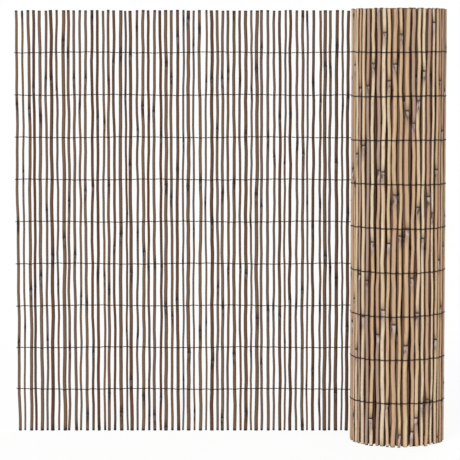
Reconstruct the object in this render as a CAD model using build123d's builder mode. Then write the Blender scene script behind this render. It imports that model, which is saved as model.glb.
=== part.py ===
"""A natural reed screen, one metre tall, partly unrolled and standing on its cut reed ends.

The mat is one row of reeds, bound at even heights by pairs of wires that pass in front of and
behind each reed. The left stretch is drawn out flat. The rest is wound into a roll, which lies
on the viewer's side of the flat stretch, so the back wires become the outside of the roll.

Every second reed is a thick one. Rolled up, the wires are pulled straight from one thick reed
to the next, and the thin reeds between them sit a little deeper.

+Z is up, X runs along the open stretch and -Y faces the viewer. The origin is the centre of
the whole screen at floor level. Angles on the roll start at its back, where the open stretch
meets it, and run clockwise as seen from above.
"""

import os
from math import cos, degrees, pi, sin, tan

from build123d import *

# Reeds
screen_height = 1000.0
thickest_reed = 9.0
thinnest_reed = 5.2
reed_taper = 0.8
average_gap = 6.35
sideways_shift = 1.7
sideways_bend = 1.3
longest_shortfall = 2.5

# Binding wires
wire_gauge = 1.0
wire_rows = 9
bare_ends = 100.0
wire_clearance = 0.05

# The open stretch and the roll
open_reeds = 66
turns = 7
core_radius = 31.0
layer_clearance = 0.4

# How finely a reed is made
reed_sides = 8
straight_lengths = 2

# Strides that shuffle the reeds, so that neighbours differ
thickness_stride = 0.618
shift_stride = 0.414
bend_stride = 0.303
length_stride = 0.732

# Sizes that follow from those above
thick_radius = thickest_reed / 2
average_reed = (thickest_reed + thinnest_reed) / 2
reed_pitch = average_reed + average_gap
layer_pitch = thickest_reed + 2 * wire_gauge + layer_clearance
roll_radius = core_radius + turns * layer_pitch
runs_per_turn = round(pi * (roll_radius - layer_pitch / 2) / reed_pitch)
run_angle = 2 * pi / runs_per_turn
crest_half_width = thick_radius * tan(pi / reed_sides)
wire_lift = wire_clearance + crest_half_width * tan(run_angle / 2)
row_spacing = (screen_height - 2 * bare_ends) / (wire_rows - 1)
row_heights = [bare_ends + row * row_spacing for row in range(wire_rows)]


def spread(number, stride):
    """A share from 0 to 1 that looks random and fills the range evenly."""
    return number * number * stride % 1.0


def either_way(number, stride):
    """The same, from -1 to 1."""
    return 2 * spread(number, stride) - 1


def is_thick(index):
    """Whether a reed, counted from where the roll starts, is one of the thick ones."""
    return index % 2 == 0


def butt_radius(index):
    """Half a reed's diameter at its thicker end, from the upper or lower half of the range."""
    share = (spread(index, thickness_stride) + is_thick(index)) / 2
    return (thinnest_reed + (thickest_reed - thinnest_reed) * share) / 2


def turn_radius(angle):
    """The radius of the middle of the mat, which shrinks by a layer in each turn."""
    return roll_radius - layer_pitch * angle / (2 * pi)


def wire_inside(angle):
    """How far from the roll's axis the wire's inner corner is, over a thick reed."""
    return turn_radius(angle) + thick_radius + wire_lift


def off_axis(angle, radius):
    """A place on the roll, measured from its axis."""
    return radius * sin(angle), radius * cos(angle)


# The wire bends over each thick reed of the outermost turn
wire_bends = [step * run_angle for step in range(1, runs_per_turn + 1)]
outer_corners = [off_axis(angle, wire_inside(angle) + wire_gauge) for angle in wire_bends]
right_reach = max(x for x, y in outer_corners)
front_reach = -min(y for x, y in outer_corners)
back_reach = roll_radius + thick_radius + wire_clearance + wire_gauge

# The whole screen is centred on the origin
open_length = (open_reeds + 0.5) * reed_pitch
tangent_x = (open_length - right_reach) / 2
left_x = tangent_x - open_length
axis_y = (front_reach - back_reach) / 2
mat_y = axis_y + roll_radius

# The open stretch ends at the side of the first rolled reed
open_end_x = tangent_x - butt_radius(0) / cos(pi / reed_sides)


def on_roll(angle, radius):
    """A place on the roll, in the screen's own frame."""
    x, y = off_axis(angle, radius)
    return tangent_x + x, axis_y + y


def reed_section(radius):
    """The outline of a reed, with flat sides where the wires touch it."""
    RegularPolygon(radius, reed_sides, major_radius=False, rotation=90 + 180 / reed_sides)


def open_reed(index):
    """One reed of the open stretch: tapered, with slight bends, flat against one wire.

    Index -1 is the reed next to the roll. Thick reeds lie against the front wires with their
    thicker end down, and thin ones lie against the back wires the other way up.
    """
    side = -1 if is_thick(index) else 1
    length = screen_height - longest_shortfall * spread(index, length_stride)
    middle_x = tangent_x + index * reed_pitch + sideways_shift * either_way(index, shift_stride)
    with BuildPart() as reed:
        for step in range(straight_lengths + 1):
            rise = step / straight_lengths
            narrowing = rise if is_thick(index) else 1 - rise
            radius = butt_radius(index) - narrowing * reed_taper / 2
            bend_number = index * (straight_lengths + 1) + step
            x = middle_x + sideways_bend * either_way(bend_number, bend_stride)
            y = mat_y + side * (thick_radius - radius)
            with BuildSketch(Plane((x, y, rise * length))):
                reed_section(radius)
        loft(ruled=True)
    return reed.part


def reed_angle(index):
    """Where a reed of the outermost turn stands: one on each wire bend and one between."""
    return index * run_angle / 2


def reed_middle(index):
    """How far from the roll's axis a reed's middle is, so that the wire lies on its outside."""
    angle = reed_angle(index)
    if is_thick(index):
        crest = turn_radius(angle) + thick_radius
    else:
        bends = (wire_inside(angle - run_angle / 2) + wire_inside(angle + run_angle / 2)) / 2
        crest = bends * cos(run_angle / 2) - wire_clearance
    return crest - butt_radius(index)


def spiral(first_turn, last_turn, offset):
    """A line with a corner at each thick reed, at one distance from the middle of the mat."""
    angles = [n * run_angle for n in range(first_turn * runs_per_turn, last_turn * runs_per_turn + 1)]
    return [on_roll(angle, turn_radius(angle) + offset) for angle in angles]


def furrows():
    """A line from reed to reed, which goes as deep between them as the inside of a thick one."""
    corners = []
    for index in range(2 * runs_per_turn):
        halfway = reed_angle(index + 0.5)
        corners.append(on_roll(reed_angle(index), reed_middle(index)))
        corners.append(on_roll(halfway, turn_radius(halfway) - thick_radius))
    corners.append(on_roll(2 * pi, reed_middle(2 * runs_per_turn)))
    return corners


def wall(outside, inside):
    """The plan of a wall between two lines."""
    with BuildLine() as outline:
        Polyline(*outside, *reversed(inside), close=True)
    make_face(outline.line)


# The open stretch is one wall of ridges with a gap between each two. Where the two wires of
# the lowest and the highest row are twisted together between the reeds, they carry it.
first_reed_x = tangent_x - open_reeds * reed_pitch
with BuildPart() as open_mat:
    for index in range(-open_reeds, 0):
        add(open_reed(index))
    for height in (row_heights[0], row_heights[-1]):
        with Locations((first_reed_x, mat_y, height)):
            Box(
                open_end_x - first_reed_x,
                2 * wire_gauge,
                2 * wire_gauge,
                align=(Align.MIN, Align.CENTER, Align.CENTER),
            )
open_mat.part.label = "open_mat"

# The turns are one wall. In its outermost turn, the reeds stand apart with furrows between them.
with BuildPart() as roll:
    with BuildSketch():
        wall(furrows(), spiral(0, 1, -thick_radius - wire_gauge))
        wall(spiral(1, turns, average_reed / 2), spiral(1, turns, -average_reed / 2))
        for index in range(2 * runs_per_turn + 1):
            x, y = on_roll(reed_angle(index), reed_middle(index))
            with Locations(Location((x, y, 0), (0, 0, -degrees(reed_angle(index))))):
                reed_section(butt_radius(index))
    extrude(amount=screen_height)
roll.part.label = "roll"

# Each front wire runs along the face of the open stretch and ends where the roll closes on it.
front_wires = []
for row, height in enumerate(row_heights, start=1):
    with BuildPart() as front_wire:
        with Locations((left_x, mat_y - thick_radius - wire_clearance, height)):
            Box(
                open_end_x - left_x,
                wire_gauge,
                wire_gauge,
                align=(Align.MIN, Align.MAX, Align.CENTER),
            )
    front_wire.part.label = f"front_wire_{row}"
    front_wires.append(front_wire.part)

# Each back wire runs behind the open stretch and then once round the outside of the roll.
wire_y = mat_y + thick_radius + wire_clearance
wire_line_inside = [(left_x, wire_y), (tangent_x + crest_half_width, wire_y)]
wire_line_outside = [(x, y + wire_gauge) for x, y in wire_line_inside]
wire_line_inside += [on_roll(angle, wire_inside(angle)) for angle in wire_bends]
wire_line_outside += [on_roll(angle, wire_inside(angle) + wire_gauge) for angle in wire_bends]
back_wires = []
for row, height in enumerate(row_heights, start=1):
    with BuildPart() as back_wire:
        with BuildSketch(Plane.XY.offset(height - wire_gauge / 2)):
            with BuildLine():
                Polyline(*wire_line_inside, *reversed(wire_line_outside), close=True)
            make_face()
        extrude(amount=wire_gauge)
    back_wire.part.label = f"back_wire_{row}"
    back_wires.append(back_wire.part)

os.makedirs("parts", exist_ok=True)
for piece in (open_mat.part, roll.part, *front_wires, *back_wires):
    export_step(piece, f"parts/{piece.label}.step")
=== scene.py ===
"""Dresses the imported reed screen: its reeds, its twisted binding wires and a plain white stage.

The file is laid out as an add-on and run as a script. Lengths are in metres, in the frame of the
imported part: +Z is up, X runs along the open stretch and -Y faces the viewer. Reeds are numbered
from the one where the roll starts: 0 and up in the roll, -1 and down in the open stretch.
"""

import bpy
import numpy as np
from bpy.props import FloatProperty, FloatVectorProperty, IntProperty, PointerProperty
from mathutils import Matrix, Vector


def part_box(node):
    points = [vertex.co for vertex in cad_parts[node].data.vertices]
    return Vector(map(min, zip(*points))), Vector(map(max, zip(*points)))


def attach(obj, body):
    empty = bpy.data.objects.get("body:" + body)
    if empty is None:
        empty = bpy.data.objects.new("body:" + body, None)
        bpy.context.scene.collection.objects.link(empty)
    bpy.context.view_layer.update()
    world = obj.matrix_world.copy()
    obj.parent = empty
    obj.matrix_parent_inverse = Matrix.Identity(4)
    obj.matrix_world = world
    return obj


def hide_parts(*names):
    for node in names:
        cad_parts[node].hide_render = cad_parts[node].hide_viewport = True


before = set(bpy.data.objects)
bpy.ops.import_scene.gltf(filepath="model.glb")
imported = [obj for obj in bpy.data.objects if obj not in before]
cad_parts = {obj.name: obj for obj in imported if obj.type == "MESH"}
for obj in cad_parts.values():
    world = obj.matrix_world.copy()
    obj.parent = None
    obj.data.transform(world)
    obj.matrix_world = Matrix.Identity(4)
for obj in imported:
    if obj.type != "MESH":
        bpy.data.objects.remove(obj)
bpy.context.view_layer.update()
open_mat_low, open_mat_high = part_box("open_mat")
wire_low, wire_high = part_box("front_wire_1")
top_wire_low, top_wire_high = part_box("front_wire_9")
mat_y = (open_mat_low.y + open_mat_high.y) / 2
lowest_row = (wire_low.z + wire_high.z) / 2
highest_row = (top_wire_low.z + top_wire_high.z) / 2

bl_info = {
    "name": "Reed screen",
    "version": (1, 0, 0),
    "blender": (4, 5, 0),
    "location": "3D View > Sidebar > Reed screen",
    "description": "Builds the reeds, binding wires and stage of a partly unrolled reed screen",
    "category": "Object",
}


class ReedScreenSizes(bpy.types.PropertyGroup):
    """The sizes that set where each reed and wire lies."""

    height: FloatProperty(
        name="Screen height",
        description="Length of a reed",
        default=open_mat_high.z,
        unit="LENGTH",
    )
    thickest_reed: FloatProperty(
        name="Thickest reed",
        description="Diameter of the thickest reed, which is also the thickness of the mat",
        default=open_mat_high.y - open_mat_low.y,
        unit="LENGTH",
    )
    thinnest_reed: FloatProperty(
        name="Thinnest reed",
        description="Diameter of the thinnest reed at its thicker end",
        default=0.0052,
        unit="LENGTH",
    )
    taper: FloatProperty(
        name="Taper",
        description="How much thinner a reed is at its far end",
        default=0.0008,
        unit="LENGTH",
    )
    pitch: FloatProperty(
        name="Reed pitch",
        description="Average distance from one reed to the next",
        default=0.01345,
        unit="LENGTH",
    )
    open_reeds: IntProperty(
        name="Open reeds",
        description="How many reeds the open stretch has",
        default=66,
    )
    turns: IntProperty(
        name="Turns",
        description="How many turns of the mat the roll has",
        default=7,
    )
    layer_pitch: FloatProperty(
        name="Layer pitch",
        description="How far each turn of the roll lies inside the one before",
        default=0.0114,
        unit="LENGTH",
    )
    roll_radius: FloatProperty(
        name="Roll radius",
        description="Radius of the middle of the mat where the roll starts",
        default=0.1108,
        unit="LENGTH",
    )
    wire_rows: IntProperty(
        name="Wire rows",
        description="How many pairs of binding wires hold the mat",
        default=9,
    )
    visible_wire: FloatProperty(
        name="Visible wire",
        description="Thickness of a binding wire with its coating, as drawn",
        default=0.0012,
        unit="LENGTH",
    )
    squeeze: FloatProperty(
        name="Squeeze",
        description="How much a reed of the roll, pressed between the turns, bulges out to either side",
        default=0.0008,
        unit="LENGTH",
    )
    wander: FloatProperty(
        name="Wander of open reeds",
        description="How far an open reed winds to either side between its cut ends",
        default=0.0009,
        unit="LENGTH",
    )
    rolled_wander: FloatProperty(
        name="Wander of rolled reeds",
        description="How far a rolled reed winds to either side between its cut ends",
        default=0.0012,
        unit="LENGTH",
    )


class ReedScreenFinish(bpy.types.PropertyGroup):
    """The colours of the reeds and of the wire."""

    # Cream to grey are the colours of the mat's pale outer face, which the roll shows. Brown, warm, dusty and
    # the dark reed colour are those of its brown inner face, which the open stretch shows.
    cream: FloatVectorProperty(
        name="Cream reed",
        description="The palest weathered face",
        subtype="COLOR",
        default=(0.71, 0.59, 0.42),
    )
    straw: FloatVectorProperty(
        name="Straw reed",
        description="The yellowest weathered face",
        subtype="COLOR",
        default=(0.60, 0.435, 0.25),
    )
    tan: FloatVectorProperty(
        name="Tan reed",
        description="The most common weathered face",
        subtype="COLOR",
        default=(0.55, 0.385, 0.25),
    )
    pink: FloatVectorProperty(
        name="Pink reed",
        description="The reddest weathered face",
        subtype="COLOR",
        default=(0.48, 0.30, 0.205),
    )
    grey: FloatVectorProperty(
        name="Grey reed",
        description="The greyest weathered face",
        subtype="COLOR",
        default=(0.39, 0.295, 0.24),
    )
    brown: FloatVectorProperty(
        name="Brown reed",
        description="The most common sheltered face",
        subtype="COLOR",
        default=(0.144, 0.084, 0.053),
    )
    warm: FloatVectorProperty(
        name="Warm brown reed",
        description="The lightest sheltered face",
        subtype="COLOR",
        default=(0.176, 0.112, 0.067),
    )
    dusty: FloatVectorProperty(
        name="Dusty brown reed",
        description="The greyest sheltered face",
        subtype="COLOR",
        default=(0.150, 0.104, 0.081),
    )
    # Also painted shade: it darkens the sides of each reed and the reeds of the inner turns.
    umber: FloatVectorProperty(
        name="Dark reed",
        description="The darkest sheltered face, and the sides of a reed",
        subtype="COLOR",
        default=(0.090, 0.038, 0.018),
    )
    # Painted reddish shade on the sides of the outer face, and also the reed's own reddish patches.
    flank_shade_and_patch: FloatVectorProperty(
        name="Flank of a bleached reed",
        description="The reddish sides of a reed of the roll",
        subtype="COLOR",
        default=(0.400, 0.195, 0.100),
    )
    # Also painted shade: the band under each wire, the cut ends and the inside of the hollow core.
    node_ring: FloatVectorProperty(
        name="Node ring",
        description="The dark ring at each node, and the cut ends",
        subtype="COLOR",
        default=(0.026, 0.015, 0.012),
    )
    node_bloom: FloatVectorProperty(
        name="Node bloom",
        description="The greyish bloom under each node",
        subtype="COLOR",
        default=(0.310, 0.222, 0.190),
    )
    node_glint: FloatVectorProperty(
        name="Node glint",
        description="Whitish spots in the bloom",
        subtype="COLOR",
        default=(0.640, 0.540, 0.500),
    )
    wire: FloatVectorProperty(
        name="Binding wire",
        description="The dark wire",
        subtype="COLOR",
        default=(0.012, 0.007, 0.005),
    )
    rust: FloatVectorProperty(
        name="Rust",
        description="Dull patches on the wire",
        subtype="COLOR",
        default=(0.030, 0.013, 0.008),
    )


# Strides and sizes that are also in the CAD model
thickness_stride = 0.618
shift_stride = 0.414
bend_stride = 0.303
length_stride = 0.732
sideways_shift = 0.0017
sideways_bend = 0.0013
longest_shortfall = 0.0025
wire_clearance = 0.00005
flat_sides = 8

# Finer shapes, which only this file has
node_swelling = 0.09
swelling_reach = 0.0025
node_ring_step = 0.0035
node_to_end = 0.004
core_share = 0.5
core_depth = 0.012
twist_share = 0.7
wire_sides = 5
sharp_edge = np.radians(60)
reed_in_sight = {"sides": 12, "even_levels": 34, "nodes": 6}
hidden_reed = {"sides": 7, "even_levels": 9, "nodes": 0}


def spread(number, stride):
    """A share from 0 to 1 for each number: the number squared, times the stride, less its whole part."""
    return number * number * stride % 1.0


def either_way(number, stride):
    """The same share, stretched to run from -1 to 1."""
    return 2 * spread(number, stride) - 1


class Mat:
    """Where every reed and wire of the mat lies, by the same rules as in the CAD model.

    A place along the mat is an angle on the roll, and below 0 a length of the open stretch over
    the roll's radius. An offset across the mat is positive out of the roll, and backwards in the
    open stretch.
    """

    def __init__(self, sizes):
        self.sizes = sizes
        self.thick_radius = sizes.thickest_reed / 2
        self.runs_per_turn = round(np.pi * (sizes.roll_radius - sizes.layer_pitch / 2) / sizes.pitch)
        self.run_angle = 2 * np.pi / self.runs_per_turn
        self.outer_reeds = 2 * self.runs_per_turn + 1
        crest_half_width = self.thick_radius * np.tan(np.pi / flat_sides)
        self.wire_lift = wire_clearance + crest_half_width * np.tan(self.run_angle / 2)
        self.axis_y = mat_y - sizes.roll_radius
        self.left_x = wire_low.x
        self.tangent_x = self.left_x + (sizes.open_reeds + 0.5) * sizes.pitch
        inner_length = self.arc(2 * np.pi * sizes.turns) - self.arc(2 * np.pi)
        self.inner_reeds = int(inner_length / sizes.pitch)
        self.row_heights = np.linspace(lowest_row, highest_row, sizes.wire_rows)
        count = sizes.open_reeds + self.outer_reeds + self.inner_reeds
        shortest_waves = (0.07, 0.15, 0.40)
        longest_waves = (0.12, 0.26, 0.80)
        wave_strengths = (0.65, 0.9, 1.0)
        chance = np.random.default_rng(41)
        self.wave_lengths = chance.uniform(shortest_waves, longest_waves, (count, 3))
        self.wave_starts = chance.uniform(0, 2 * np.pi, (count, 3))
        self.wave_shares = chance.uniform(0.4, 1.0, (count, 3)) * wave_strengths
        self.node_spacing = chance.uniform(0.24, 0.48, count)
        self.node_phase = chance.uniform(0, 1, count)
        self.tone = chance.uniform(0, 1, count)
        self.hue = chance.uniform(0, 1, count)

    def drawn(self, values, index):
        """The value drawn for each reed."""
        return values[index + self.sizes.open_reeds]

    def is_thick(self, index):
        """Every second reed is a thick one."""
        return index % 2 == 0

    def butt_radius(self, index):
        """Half a reed's thicker end: the lower or upper half of the range, by the reed's number."""
        share = (spread(index, thickness_stride) + self.is_thick(index)) / 2
        return (self.sizes.thinnest_reed + (self.sizes.thickest_reed - self.sizes.thinnest_reed) * share) / 2

    def radius(self, index, height):
        """A reed narrows evenly from its butt: upwards if it is a thick one, else downwards."""
        rise = height / self.sizes.height
        narrowing = np.where(self.is_thick(index), rise, 1 - rise)
        return self.butt_radius(index) - narrowing * self.sizes.taper / 2

    def arc(self, angle):
        """Length of the mat from the start of the roll: radius times angle, less what the radius loses."""
        return self.sizes.roll_radius * angle - self.sizes.layer_pitch * angle**2 / (4 * np.pi)

    def angle(self, index):
        """Where a rolled reed stands: even steps in the outermost turn, then even lengths of mat.

        The angle for a length is the root of the quadratic that arc() states.
        """
        start, pitch, layer = self.sizes.roll_radius, self.sizes.pitch, self.sizes.layer_pitch
        last = self.outer_reeds - 1
        length = self.arc(2 * np.pi) + np.maximum(index - last, 0) * pitch
        inner = (start - np.sqrt(start**2 - layer * length / np.pi)) * 2 * np.pi / layer
        return np.where(index <= last, index * self.run_angle / 2, inner)

    def turn_radius(self, angle):
        """The radius of the middle of the mat, which shrinks by a layer in each turn."""
        return self.sizes.roll_radius - self.sizes.layer_pitch * angle / (2 * np.pi)

    def wire_inside(self, angle):
        """How far from the roll's axis the wire's inner corner is, over a thick reed."""
        return self.turn_radius(angle) + self.thick_radius + self.wire_lift

    def crest_radius(self, index, angle):
        """How far out a rolled reed reaches: to the mat's face, or to the wire pulled straight past it."""
        step = self.run_angle / 2
        bends = (self.wire_inside(angle - step) + self.wire_inside(angle + step)) / 2
        thin = bends * np.cos(step) - wire_clearance
        return np.where(self.is_thick(index), self.turn_radius(angle) + self.thick_radius, thin)

    def wander(self, index, height):
        """Three sine waves of unlike length, which make a reed wind to either side."""
        shares, lengths, starts = (
            self.drawn(values, index) for values in (self.wave_shares, self.wave_lengths, self.wave_starts)
        )
        waves = shares * np.sin(2 * np.pi * height[..., None] / lengths + starts)
        return np.where(index < 0, self.sizes.wander, self.sizes.rolled_wander) * waves.sum(axis=-1)

    def bend(self, index, height):
        """Straight runs between three sideways offsets, at the foot, the middle and the top."""
        rise = np.clip(height / self.sizes.height, 0, 1) * 2
        foot, middle, top = (sideways_bend * either_way(index * 3 + n, bend_stride) for n in range(3))
        return np.where(rise < 1, foot + (middle - foot) * rise, middle + (top - middle) * (rise - 1))

    def even_place(self, index):
        """Where a reed stands along the mat before it is shifted."""
        open_place = index * self.sizes.pitch / self.sizes.roll_radius
        return np.where(index < 0, open_place, self.angle(np.maximum(index, 0)))

    def along(self, index, height):
        """Where a reed's middle is along the mat at a height."""
        shift = sideways_shift * either_way(index, shift_stride) + self.wander(index, height)
        shift = shift + np.where(index < 0, self.bend(index, height), 0)
        place = self.even_place(index)
        return place + shift / self.turn_radius(np.maximum(place, 0))

    def offset(self, index, height):
        """How far a reed's middle is out of the middle of the mat: it lies against one of the wires."""
        spare = self.thick_radius - self.radius(index, height)
        angle = np.maximum(self.even_place(index), 0)
        rolled = self.crest_radius(index, angle) - self.turn_radius(angle) - self.radius(index, height)
        return np.where(index < 0, np.where(self.is_thick(index), -spare, spare), rolled)

    def point(self, along, offset, height):
        """A point of the mat in the screen's own frame."""
        angle = np.maximum(along, 0)
        reach = self.turn_radius(angle) + offset
        x = self.tangent_x + np.where(along < 0, along * self.sizes.roll_radius, reach * np.sin(angle))
        y = np.where(along < 0, mat_y + offset, self.axis_y + reach * np.cos(angle))
        return np.stack(np.broadcast_arrays(x, y, height), axis=-1)

    def directions(self, along):
        """Out of the mat, which is backwards on the flat and else away from the axis, and back along it."""
        angle = np.maximum(along, 0)
        level = np.zeros(angle.shape)
        outward = np.stack([np.sin(angle), np.cos(angle), level], axis=-1)
        back = np.stack([-np.cos(angle), np.sin(angle), level], axis=-1)
        return outward, back

    def row_drift(self, index, height):
        """How far a row of wires is above its even height at a reed.

        It is the sum of two sine waves of the reed's number, which are out of step from row to row.
        """
        slow = 0.0010 * np.sin(0.27 * index + 11 * height)
        quick = 0.0005 * np.sin(1.9 * index + 17 * height)
        return slow + quick


def skin(name, rings, marks):
    """A mesh of closed tubes: each ring joined to the next by quads, and a cap on each end.

    rings has the shape tube, ring, side, xyz. marks gives each vertex its values by name.
    """
    tubes, levels, sides, _ = rings.shape
    number = np.arange(tubes * levels * sides).reshape(tubes, levels, sides)
    onwards = np.roll(number, -1, axis=2)
    corners = (number[:, :-1], onwards[:, :-1], onwards[:, 1:], number[:, 1:])
    quads = np.stack(corners, axis=-1).reshape(-1, 4)
    caps = np.concatenate([number[:, 0, ::-1], number[:, -1]])
    mesh = bpy.data.meshes.new(name)
    mesh.vertices.add(number.size)
    mesh.vertices.foreach_set("co", rings.astype(np.float32).ravel())
    mesh.loops.add(quads.size + caps.size)
    mesh.loops.foreach_set("vertex_index", np.concatenate([quads.ravel(), caps.ravel()]).astype(np.int32))
    mesh.polygons.add(len(quads) + len(caps))
    starts = np.concatenate([np.arange(len(quads)) * 4, quads.size + np.arange(len(caps)) * sides])
    mesh.polygons.foreach_set("loop_start", starts.astype(np.int32))
    mesh.update(calc_edges=True)
    mesh.validate()
    mesh.polygons.foreach_set("use_smooth", np.ones(len(mesh.polygons), bool))
    mesh.set_sharp_from_angle(angle=sharp_edge)
    for mark, values in marks.items():
        attribute = mesh.attributes.new(mark, "FLOAT", "POINT")
        each = np.broadcast_to(values, number.shape)
        attribute.data.foreach_set("value", each.astype(np.float32).ravel())
    piece = bpy.data.objects.new(name, mesh)
    bpy.context.collection.objects.link(piece)
    return piece


def reed_tubes(mat, name, index, sides, even_levels, nodes):
    """Reeds as tubes: a ring of the reed's radius at each even level, and three more about each node.

    The reed swells at as many nodes as are asked for, by a bell curve of the height over the node.
    Each end turns inwards to the rim of the hollow core, and then back along the core to its floor.
    A reed of the roll is also a little wider along the mat than it is across it.
    """
    index = index[:, None]
    top = mat.sizes.height - longest_shortfall * spread(index, length_stride)

    # Open reeds and every fifth rolled one stand on the floor, and the others end just above it.
    stands = (index < 0) | (index % 5 == 0)
    foot = np.where(stands, 0.0, longest_shortfall * spread(index + 7, length_stride))

    spacing = mat.drawn(mat.node_spacing, index)
    phase = mat.drawn(mat.node_phase, index)
    node_heights = (np.arange(nodes) + 1 - phase) * spacing
    around_nodes = node_heights[:, :, None] + np.array([-node_ring_step, 0.0, node_ring_step])
    around_nodes = np.clip(around_nodes.reshape(len(index), -1), foot + node_to_end, top - node_to_end)
    even = foot + (top - foot) * np.linspace(0, 1, even_levels)
    height = np.sort(np.concatenate([even, around_nodes], axis=1), axis=1)
    to_node = height[:, :, None] - node_heights[:, None, :]
    swelling = np.exp(-((to_node / swelling_reach) ** 2)).max(axis=2, initial=0)
    radius = mat.radius(index, height) * (1 + node_swelling * swelling)

    # The first two rings and the last two are those of the core.
    core = core_share * radius
    height = np.concatenate([foot + core_depth, foot, height, top, top - core_depth], axis=1)
    radius = np.concatenate([core[:, [0, 0]], radius, core[:, [-1, -1]]], axis=1)
    cut = np.zeros(height.shape)
    cut[:, :2] = 1
    cut[:, -2:] = 1
    width = radius + np.where(index < 0, 0.0, mat.sizes.squeeze) * (1 - cut)

    along = mat.along(index, height)
    centre = mat.point(along, mat.offset(index, height), height)[:, :, None]
    outward, back = (direction[:, :, None] for direction in mat.directions(along))
    turn = (np.arange(sides) * 2 * np.pi / sides)[:, None]
    out = radius[:, :, None, None] * outward * np.cos(turn)
    aside = width[:, :, None, None] * back * np.sin(turn)

    # The reeds of the inner turns are painted in shade, more so with each turn.
    turns_in = np.maximum(mat.even_place(index) / (2 * np.pi) - 1, 0)
    shelter = np.where(turns_in > 0, np.minimum(0.35 + 0.8 * turns_in, 1), 0)
    marks = {
        "weather": np.cos(turn)[:, 0],
        "shelter": shelter[:, :, None],
        "drift": mat.row_drift(index, height)[:, :, None],
        "cut": cut[:, :, None],
        "tone": mat.drawn(mat.tone, index)[:, :, None],
        "hue": mat.drawn(mat.hue, index)[:, :, None],
        "node_spacing": spacing[:, :, None],
        "node_phase": phase[:, :, None],
    }
    return skin(name, centre + out + aside, marks)


def wire_tubes(mat, name, side):
    """One wire of each pair: an arc over each reed that it passes and a helix in each gap.

    Over a reed it lies on the reed's circle, from 62 degrees on one side of the crest to 62 on
    the other. In the gap it makes one full turn about the middle of the pair, in step with its
    twin. side is 1 for the wire on the outside of the roll and -1 for its twin.
    """
    gauge = mat.sizes.visible_wire
    twist_radius = twist_share * gauge
    index = np.arange(-mat.sizes.open_reeds, mat.outer_reeds)[None, :]
    height = mat.row_heights[:, None] + 0 * index
    level = (height + mat.row_drift(index, height))[..., None]
    reach = mat.radius(index, height)[..., None] + gauge / 2
    along = mat.along(index, height)[..., None]
    offset = mat.offset(index, height)[..., None]
    arm = mat.turn_radius(np.maximum(mat.even_place(index), 0))[..., None]

    # Over each reed
    lean = np.radians([-62, -32, 0, 32, 62])
    over_along = along + reach * np.sin(lean) / arm
    over_offset = offset + side * reach * np.cos(lean)
    over_level = level + 0 * lean

    # From each reed to the next
    stations = 8
    share = np.linspace(0.12, 0.88, stations)
    turn = 2 * np.pi * np.linspace(0, 1, stations)

    def in_gap(start, end):
        """The stations in each gap, from one reed's value towards the next one's."""
        return start[:, :-1] + (end[:, 1:] - start[:, :-1]) * share

    gap_along = in_gap(along + reach / arm, along - reach / arm)
    gap_offset = in_gap(offset, offset) + side * twist_radius * np.cos(turn)
    gap_level = in_gap(level, level) + side * twist_radius * np.sin(turn)

    # The bare ends are twisted together too, up to the first reed.
    bare = np.linspace(0.0, 0.9, 5)
    tip = (mat.left_x - mat.tangent_x) / mat.sizes.roll_radius
    bare_along = tip + (along[:, 0] - reach[:, 0] / arm[:, 0] - tip) * bare
    bare_turn = np.pi * (bare - bare[-1])
    bare_offset = offset[:, 0] + side * twist_radius * np.cos(bare_turn)
    bare_level = level[:, 0] + side * twist_radius * np.sin(bare_turn)

    def threaded(bare_part, over_part, gap_part):
        """The stations of each row in order: the bare end, then reed and gap by turns."""
        pairs = np.concatenate([over_part[:, :-1], gap_part], axis=2)
        return np.concatenate([bare_part, pairs.reshape(len(pairs), -1), over_part[:, -1]], axis=1)

    path = mat.point(
        threaded(bare_along, over_along, gap_along),
        threaded(bare_offset, over_offset, gap_offset),
        threaded(bare_level, over_level, gap_level),
    )
    ahead = np.gradient(path, axis=1)
    ahead /= np.linalg.norm(ahead, axis=2, keepdims=True)
    across = np.cross(ahead, (0.0, 0.0, 1.0))
    across /= np.linalg.norm(across, axis=2, keepdims=True)
    upward = np.cross(ahead, across)
    round_wire = (np.arange(wire_sides) * 2 * np.pi / wire_sides)[:, None]
    ring = across[:, :, None] * np.cos(round_wire) + upward[:, :, None] * np.sin(round_wire)
    return skin(name, path[:, :, None, :] + ring * gauge / 2, {})


def opaque(colour):
    """A colour with its alpha, as a node takes it."""
    return (*colour, 1.0)


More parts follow.
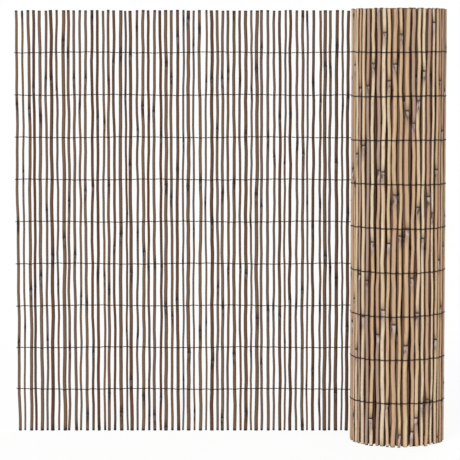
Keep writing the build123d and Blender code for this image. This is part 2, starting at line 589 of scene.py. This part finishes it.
class Wired:
    """A socket of a shader. Arithmetic on it adds Math nodes, and node() adds any other node."""

    def __init__(self, tree, socket=None):
        self.tree = tree
        self.socket = socket

    def node(self, kind, settings=None, inputs=None, output=0):
        """Adds a node, makes its settings, fills its sockets and returns one of its outputs."""
        made = self.tree.nodes.new(kind)
        for name, value in (settings or {}).items():
            if name == "stops":
                ramp = made.color_ramp.elements
                while len(ramp) < len(value):
                    ramp.new(1.0)
                for element, (position, colour) in zip(ramp, value):
                    element.position = position
                    element.color = opaque(colour)
            else:
                setattr(made, name, value)
        for name, value in (inputs or {}).items():
            if isinstance(value, Wired):
                self.tree.links.new(value.socket, made.inputs[name])
            else:
                made.inputs[name].default_value = value
        return Wired(self.tree, made.outputs[output] if made.outputs else None)

    def math(self, operation, *values):
        """A Math node on one or two numbers or sockets."""
        return self.node("ShaderNodeMath", {"operation": operation}, dict(enumerate(values)))

    def __abs__(self):
        return self.math("ABSOLUTE", self)

    def __add__(self, other):
        return self.math("ADD", self, other)

    __radd__ = __add__

    def __sub__(self, other):
        return self.math("SUBTRACT", self, other)

    def __rsub__(self, other):
        return self.math("SUBTRACT", other, self)

    def __mul__(self, other):
        return self.math("MULTIPLY", self, other)

    __rmul__ = __mul__

    def __truediv__(self, other):
        return self.math("DIVIDE", self, other)

    def whole(self):
        """The whole number at or below this one."""
        return self.math("FLOOR", self)

    def fraction(self):
        """How far this number is above its whole one."""
        return self.math("FRACT", self)

    def rising(self, low, high):
        """0 up to low, 1 from high on, and a smooth step between."""
        return self.node(
            "ShaderNodeMapRange",
            {"interpolation_type": "SMOOTHSTEP"},
            {"Value": self, "From Min": low, "From Max": high},
        )

    def fading(self, low, high):
        """1 up to low, 0 from high on, and a smooth step between."""
        return 1 - self.rising(low, high)

    def blend(self, first, second):
        """Mixes two colours, with this socket as the share of the second.

        A Mix node's sockets share their names, and the ones for colours are 6 and 7, and 2 for the result.
        """
        return self.node("ShaderNodeMix", {"data_type": "RGBA"}, {0: self, 6: first, 7: second}, output=2)


def new_material(name):
    """An empty material and the start of its shader."""
    material = bpy.data.materials.new(name)
    material.use_nodes = True
    material.node_tree.nodes.clear()
    return material, Wired(material.node_tree)


def stretched_noise(shader, across, lengthwise, detail):
    """Noise with so many features a metre across the reed, and so many along it."""
    place = shader.node("ShaderNodeTexCoord", output="Object")
    stretched = shader.node(
        "ShaderNodeVectorMath", {"operation": "MULTIPLY"}, {0: place, 1: (across, across, lengthwise)}
    )
    return shader.node("ShaderNodeTexNoise", inputs={"Vector": stretched, "Scale": 1.0, "Detail": detail})


def reed_material(name, scene):
    """Reed with a pale outer face and a brown inner one and a dark ring at each node, with painted shade on
    its sides, over the inner turns, under the wires, at its ends and in its hollow core.
    """
    sizes = scene.reed_screen_sizes
    finish = scene.reed_screen_finish
    material, shader = new_material(name)
    weather, shelter, drift, cut, tone, hue, spacing, phase = (
        shader.node("ShaderNodeAttribute", {"attribute_name": mark}, output="Fac")
        for mark in ("weather", "shelter", "drift", "cut", "tone", "hue", "node_spacing", "node_phase")
    )
    place = shader.node("ShaderNodeTexCoord", output="Object")
    height = shader.node("ShaderNodeSeparateXYZ", inputs={0: place}, output="Z")
    fibres = stretched_noise(shader, across=900.0, lengthwise=14.0, detail=4.0)
    streaks = stretched_noise(shader, across=260.0, lengthwise=5.0, detail=2.0)
    blotches = stretched_noise(shader, across=160.0, lengthwise=60.0, detail=3.0)
    umber = opaque(finish.umber)
    flank_shade_and_patch = opaque(finish.flank_shade_and_patch)
    soot_and_shade = opaque(finish.node_ring)

    # Each reed has its own colour on either face, which changes a little at each node and in streaks.
    pale_stops = (
        (0.0, finish.cream),
        (0.24, finish.cream),
        (0.42, finish.straw),
        (0.60, finish.tan),
        (0.78, finish.pink),
        (0.95, finish.grey),
    )
    dark_stops = (
        (0.0, finish.umber),
        (0.25, finish.brown),
        (0.6, finish.warm),
        (0.9, finish.dusty),
    )
    nodes_passed = height / spacing + phase
    reeds_apart = 50
    internode = nodes_passed.whole() + tone * reeds_apart
    change = shader.node("ShaderNodeTexWhiteNoise", {"noise_dimensions": "1D"}, {"W": internode})
    pale_share = hue + (change - 0.5) * 0.40 + (streaks - 0.5) * 0.8
    pale = shader.node("ShaderNodeValToRGB", {"stops": pale_stops}, {0: pale_share})
    dark_share = tone + (streaks - 0.5) * 0.6
    dark = shader.node("ShaderNodeValToRGB", {"stops": dark_stops}, {0: dark_share})

    # The outer face is pale in its middle. The sides of each reed are painted in shade, dark on the inner
    # face and reddish on the outer one, and the reeds of the inner turns are painted dark as shade.
    pale_faced = (weather + (blotches - 0.5) * 0.25).rising(0.02, 0.85) * (1 - shelter)
    sides = 1 - (weather * weather).rising(0.05, 0.75)
    dark = (sides * 0.75).blend(dark, umber)
    dark = weather.rising(-0.05, 0.30).blend(dark, flank_shade_and_patch)
    dark = (shelter * 0.9).blend(dark, umber)
    colour = pale_faced.blend(dark, pale)
    # Reddish patches on the pale face are the reed's own colour.
    patches = blotches.rising(0.58, 0.72) * pale_faced
    colour = (patches * 0.35).blend(colour, flank_shade_and_patch)

    # Each node is a dark ring with a smear above it and a greyish, spotted bloom below.
    above = nodes_passed.fraction() * spacing
    below = spacing - above
    bloom = below.fading(0.010, 0.045) * pale_faced
    smear = above.fading(0.0, 0.026) * (0.90 - 0.45 * pale_faced)
    stain = below.fading(0.006, 0.034) * (1 - pale_faced) * 0.80
    spots = below.fading(0.010, 0.024) * blotches.rising(0.48, 0.58)
    specks = below.fading(0.012, 0.030) * blotches.fading(0.38, 0.46)
    ring = above.fading(0.0015, 0.0060) * (0.5 + blotches)
    colour = (bloom * 0.8).blend(colour, opaque(finish.node_bloom))
    colour = (stain + smear).blend(colour, soot_and_shade)
    colour = (specks * 0.7).blend(colour, soot_and_shade)
    colour = (spots * (0.15 + 0.5 * pale_faced)).blend(colour, opaque(finish.node_glint))
    colour = (ring * 0.9).blend(colour, soot_and_shade)

    # Painted shadow: a dark band lies where each wire crosses the reed.
    row_spacing = (highest_row - lowest_row) / (sizes.wire_rows - 1)
    rows_passed = (height - drift - lowest_row) / row_spacing + 0.5
    off_row = abs(rows_passed.fraction() - 0.5) * row_spacing
    wire_shadow = off_row.fading(0.0008, 0.0026)
    colour = (wire_shadow * 0.8).blend(colour, soot_and_shade)
    # Painted shade: the reed is dark at its cut ends, on its inner face.
    to_end = sizes.height / 2 - abs(height - sizes.height / 2)
    ends = to_end.fading(0.0025, 0.0076) * (1 - pale_faced) * (1 - shelter)
    colour = (ends * 0.8).blend(colour, soot_and_shade)
    rim = cut.rising(0.02, 0.10) * (1 - 0.7 * tone)
    colour = rim.blend(colour, opaque(finish.tan))
    # Painted shade: the hollow core and its floor are dark.
    colour = cut.rising(0.90, 0.98).blend(colour, soot_and_shade)

    # Fibres run the length of the reed.
    colour = (0.30 * fibres.fading(0.25, 0.75)).blend(colour, umber)
    bump = shader.node(
        "ShaderNodeBump", inputs={"Strength": 0.35, "Distance": 0.0006, "Height": fibres + ring * 0.4}
    )
    surface = shader.node(
        "ShaderNodeBsdfPrincipled",
        inputs={
            "Base Color": colour,
            "Roughness": 0.55 + 0.2 * fibres,
            "IOR": 1.2,
            "Normal": bump,
        },
    )
    shader.node("ShaderNodeOutputMaterial", inputs={"Surface": surface})
    return material


def wire_material(name, scene):
    """Dark coated wire with a few dull rusty patches."""
    finish = scene.reed_screen_finish
    material, shader = new_material(name)
    rust = stretched_noise(shader, across=300.0, lengthwise=300.0, detail=3.0).rising(0.5, 0.75)
    colour = (rust * 0.6).blend(opaque(finish.wire), opaque(finish.rust))
    surface = shader.node(
        "ShaderNodeBsdfPrincipled",
        inputs={"Base Color": colour, "Roughness": 0.6 + 0.3 * rust, "IOR": 1.3},
    )
    shader.node("ShaderNodeOutputMaterial", inputs={"Surface": surface})
    return material


def shared_material(name, make, scene):
    """A material by name, made the first time it is asked for.

    The frame brings materials of its own that are named like the slots, so these names differ.
    """
    return bpy.data.materials.get(name) or make(name, scene)


def settle(piece, material, nodes):
    """Gives a piece its material and places it on the frame in place of its CAD nodes."""
    piece.data.materials.append(material)
    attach(piece, "root")
    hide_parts(*nodes)


def seen_directly(shader):
    """1 for what the camera sees, also in a reflection or through a piece, and 0 for light on the screen."""
    rays = ("Is Camera Ray", "Is Glossy Ray", "Is Transmission Ray")
    camera, glossy, transmitted = (shader.node("ShaderNodeLightPath", output=ray) for ray in rays)
    return camera + glossy + transmitted


def floor_material(name):
    """White to the camera and in reflections, and a pale floor with the screen's shadow to the light."""
    whiteness = 0.9
    material, shader = new_material(name)
    lit = shader.node("ShaderNodeBsdfDiffuse", inputs={"Color": opaque((0.92, 0.92, 0.92))})
    white = shader.node("ShaderNodeEmission", inputs={"Color": opaque((1.0, 1.0, 1.0)), "Strength": 1.0})
    surface = shader.node(
        "ShaderNodeMixShader", inputs={0: seen_directly(shader) * whiteness, 1: lit, 2: white}
    )
    shader.node("ShaderNodeOutputMaterial", inputs={"Surface": surface})
    return material


def white_floor(scene):
    """A wide flat sheet at the foot of the reeds."""
    reach = 12.0
    corners = [(-reach, -reach, 0.0), (reach, -reach, 0.0), (reach, reach, 0.0), (-reach, reach, 0.0)]
    sheet = bpy.data.meshes.new("floor")
    sheet.from_pydata(corners, [], [(0, 1, 2, 3)])
    sheet.materials.append(floor_material("white_floor"))
    floor = bpy.data.objects.new("floor", sheet)
    scene.collection.objects.link(floor)


def studio_world(scene):
    """A world that is white to the camera and a soft grey to the light."""
    ambient = 0.45
    world = bpy.data.worlds.new("studio")
    world.use_nodes = True
    world.node_tree.nodes.clear()
    shader = Wired(world.node_tree)
    strength = seen_directly(shader) * (1 - ambient) + ambient
    sky = shader.node("ShaderNodeBackground", inputs={"Color": opaque((1.0, 1.0, 1.0)), "Strength": strength})
    shader.node("ShaderNodeOutputWorld", inputs={"Surface": sky})
    scene.world = world


def soft_lights(scene):
    """A broad key light from the viewer's left, and weaker ones from the right and from behind."""
    breadth = np.radians(24)
    for name, degrees_turned, strength in (
        ("key_light", (60, 0, -26), 2.1),
        ("fill_light", (65, 0, 44), 0.6),
        ("back_light", (55, 0, 160), 0.9),
    ):
        lamp = bpy.data.lights.new(name, "SUN")
        lamp.energy = strength
        lamp.angle = breadth
        light = bpy.data.objects.new(name, lamp)
        light.rotation_euler = np.radians(degrees_turned)
        scene.collection.objects.link(light)


def front_camera(scene):
    """A camera in front of the open stretch, a little below its top, that looks slightly down."""
    distance = 4.8
    height = 0.8798
    aside = 0.0042
    degrees_down = 4.112
    lens = bpy.data.cameras.new("camera")
    lens.sensor_width = 36.0
    lens.lens = 158.95
    lens.shift_y = -0.05
    camera = bpy.data.objects.new("camera", lens)
    camera.location = (aside, mat_y - distance, height)
    camera.rotation_euler = np.radians((90 - degrees_down, 0, 0))
    scene.collection.objects.link(camera)
    scene.camera = camera


class REEDSCREEN_OT_open_reeds(bpy.types.Operator):
    """Builds the reeds of the open stretch."""

    bl_idname = "reedscreen.open_reeds"
    bl_label = "Open reeds"

    def execute(self, context):
        mat = Mat(context.scene.reed_screen_sizes)
        index = np.arange(-mat.sizes.open_reeds, 0)
        piece = reed_tubes(mat, "open_reeds", index, **reed_in_sight)
        material = shared_material("reed", reed_material, context.scene)
        settle(piece, material, ["open_mat"])
        return {"FINISHED"}


class REEDSCREEN_OT_rolled_reeds(bpy.types.Operator):
    """Builds the reeds of the roll, those of the hidden inner turns with fewer faces."""

    bl_idname = "reedscreen.rolled_reeds"
    bl_label = "Rolled reeds"

    def execute(self, context):
        mat = Mat(context.scene.reed_screen_sizes)
        material = shared_material("reed", reed_material, context.scene)
        outer = np.arange(mat.outer_reeds)
        piece = reed_tubes(mat, "outer_turn_reeds", outer, **reed_in_sight)
        settle(piece, material, ["roll"])
        inner = mat.outer_reeds + np.arange(mat.inner_reeds)
        piece = reed_tubes(mat, "inner_turn_reeds", inner, **hidden_reed)
        settle(piece, material, ["roll"])
        return {"FINISHED"}


class REEDSCREEN_OT_binding_wires(bpy.types.Operator):
    """Builds the pairs of binding wires, twisted between the reeds."""

    bl_idname = "reedscreen.binding_wires"
    bl_label = "Binding wires"

    def execute(self, context):
        mat = Mat(context.scene.reed_screen_sizes)
        material = shared_material("coated_wire", wire_material, context.scene)
        for name, side in (("front_wire", -1), ("back_wire", 1)):
            piece = wire_tubes(mat, f"{name}s", side)
            nodes = [f"{name}_{row}" for row in range(1, mat.sizes.wire_rows + 1)]
            settle(piece, material, nodes)
        return {"FINISHED"}


class REEDSCREEN_OT_stage(bpy.types.Operator):
    """Builds the white floor, the soft lights and the camera."""

    bl_idname = "reedscreen.stage"
    bl_label = "Stage"

    def execute(self, context):
        scene = context.scene
        scene.view_settings.view_transform = "Standard"
        white_floor(scene)
        studio_world(scene)
        soft_lights(scene)
        front_camera(scene)
        return {"FINISHED"}


class REEDSCREEN_PT_panel(bpy.types.Panel):
    """Lists the screen's pieces, sizes and colours in the sidebar."""

    bl_idname = "REEDSCREEN_PT_panel"
    bl_label = "Reed screen"
    bl_space_type = "VIEW_3D"
    bl_region_type = "UI"
    bl_category = "Reed screen"

    def draw(self, context):
        for operator in operators:
            self.layout.operator(operator.bl_idname)
        for group in (context.scene.reed_screen_sizes, context.scene.reed_screen_finish):
            column = self.layout.column()
            for name in group.__annotations__:
                column.prop(group, name)


operators = (
    REEDSCREEN_OT_open_reeds,
    REEDSCREEN_OT_rolled_reeds,
    REEDSCREEN_OT_binding_wires,
    REEDSCREEN_OT_stage,
)
classes = (ReedScreenSizes, ReedScreenFinish, *operators, REEDSCREEN_PT_panel)


def register():
    """Registers the classes and gives the scene its sizes and colours."""
    for each in classes:
        bpy.utils.register_class(each)
    bpy.types.Scene.reed_screen_sizes = PointerProperty(type=ReedScreenSizes)
    bpy.types.Scene.reed_screen_finish = PointerProperty(type=ReedScreenFinish)


def unregister():
    """Takes away what register() added."""
    del bpy.types.Scene.reed_screen_finish
    del bpy.types.Scene.reed_screen_sizes
    for each in reversed(classes):
        bpy.utils.unregister_class(each)


def main():
    """Builds every piece."""
    register()
    bpy.ops.reedscreen.open_reeds()
    bpy.ops.reedscreen.rolled_reeds()
    bpy.ops.reedscreen.binding_wires()
    bpy.ops.reedscreen.stage()


if __name__ == "__main__":
    main()
